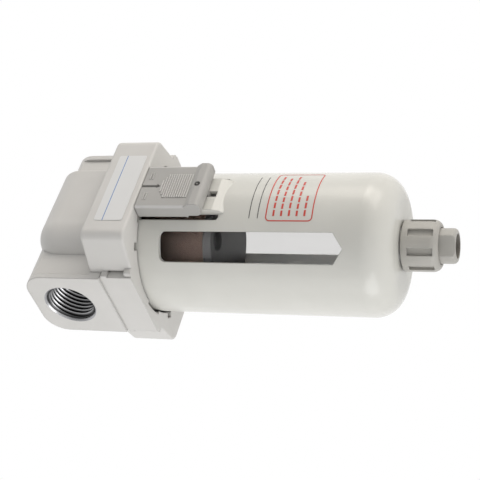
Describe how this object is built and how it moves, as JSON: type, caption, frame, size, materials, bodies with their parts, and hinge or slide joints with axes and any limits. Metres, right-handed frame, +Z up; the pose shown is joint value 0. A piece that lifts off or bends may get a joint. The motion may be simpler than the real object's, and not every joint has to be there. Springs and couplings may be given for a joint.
{
  "type": "compressed air filter",
  "caption": "Modular compressed air filter with threaded side ports, twist-off clear bowl in a moulded guard, sprung bowl lock and turn-to-drain valve.",
  "frame": {"origin": "centre of the two bracket screws on the flat top face of the body", "axes": "+Z up along the bowl, +X along the port axis towards the outlet port, -Y towards the front with the lock button"},
  "size_m": [0.07, 0.0711, 0.1737],
  "materials": {
    "cast_body": "satin",
    "label": "satin",
    "black_plastic": "matt",
    "rubber": "matt",
    "steel": "satin",
    "sintered_bronze": "porous",
    "brass": "satin",
    "clear_polycarbonate": "clear",
    "guard_plastic": "satin",
    "button_plastic": "satin",
    "knob_plastic": "satin"
  },
  "bodies": {
    "head": {"body": "cast_body", "name_label": "label", "swirl_deflector": "black_plastic", "deflector_gasket": "rubber", "tie_stud": "steel", "upper_element_gasket": "rubber", "filter_element": "sintered_bronze", "lower_element_gasket": "rubber", "baffle": "black_plastic", "baffle_nut": "brass"},
    "bowl_unit": {"bowl_o_ring": "rubber", "bowl": "clear_polycarbonate", "bowl_guard": "guard_plastic", "lock_spring": "steel", "drain_barrel": "steel", "drain_gasket": "rubber", "drain_nut": "brass", "knob_o_ring": "rubber", "drain_outlet": "knob_plastic"},
    "button": {"lock_button": "button_plastic"},
    "knob": {"drain_knob": "knob_plastic"},
    "valve": {"drain_stem": "brass", "valve_seal": "rubber", "drain_cross_pin": "steel"}
  },
  "joints": [
    {"name": "bowl_turn", "type": "hinge", "parent": "head", "child": "bowl_unit", "pos_m": [0, 0, -0.0447], "axis": [0, 0, 1], "range_deg": [0, 45]},
    {"name": "lock_press", "type": "slide", "parent": "bowl_unit", "child": "button", "axis": [0, 0, -1], "range_m": [0, 0.003], "stiffness_N_per_m": 300, "springref_m": -0.004, "deforming": ["lock_spring"]},
    {"name": "drain_turn", "type": "hinge", "parent": "bowl_unit", "child": "knob", "pos_m": [0, 0, -0.1609], "axis": [0, 0, 1], "range_deg": [0, 150]},
    {"name": "valve_lift", "type": "slide", "parent": "bowl_unit", "child": "valve", "axis": [0, 0, 1], "range_m": [0, 0.0015]}
  ],
  "couplings": [
    {"joint": "drain_turn", "follows": "valve_lift", "rad_per_m": 1745.3}
  ]
}
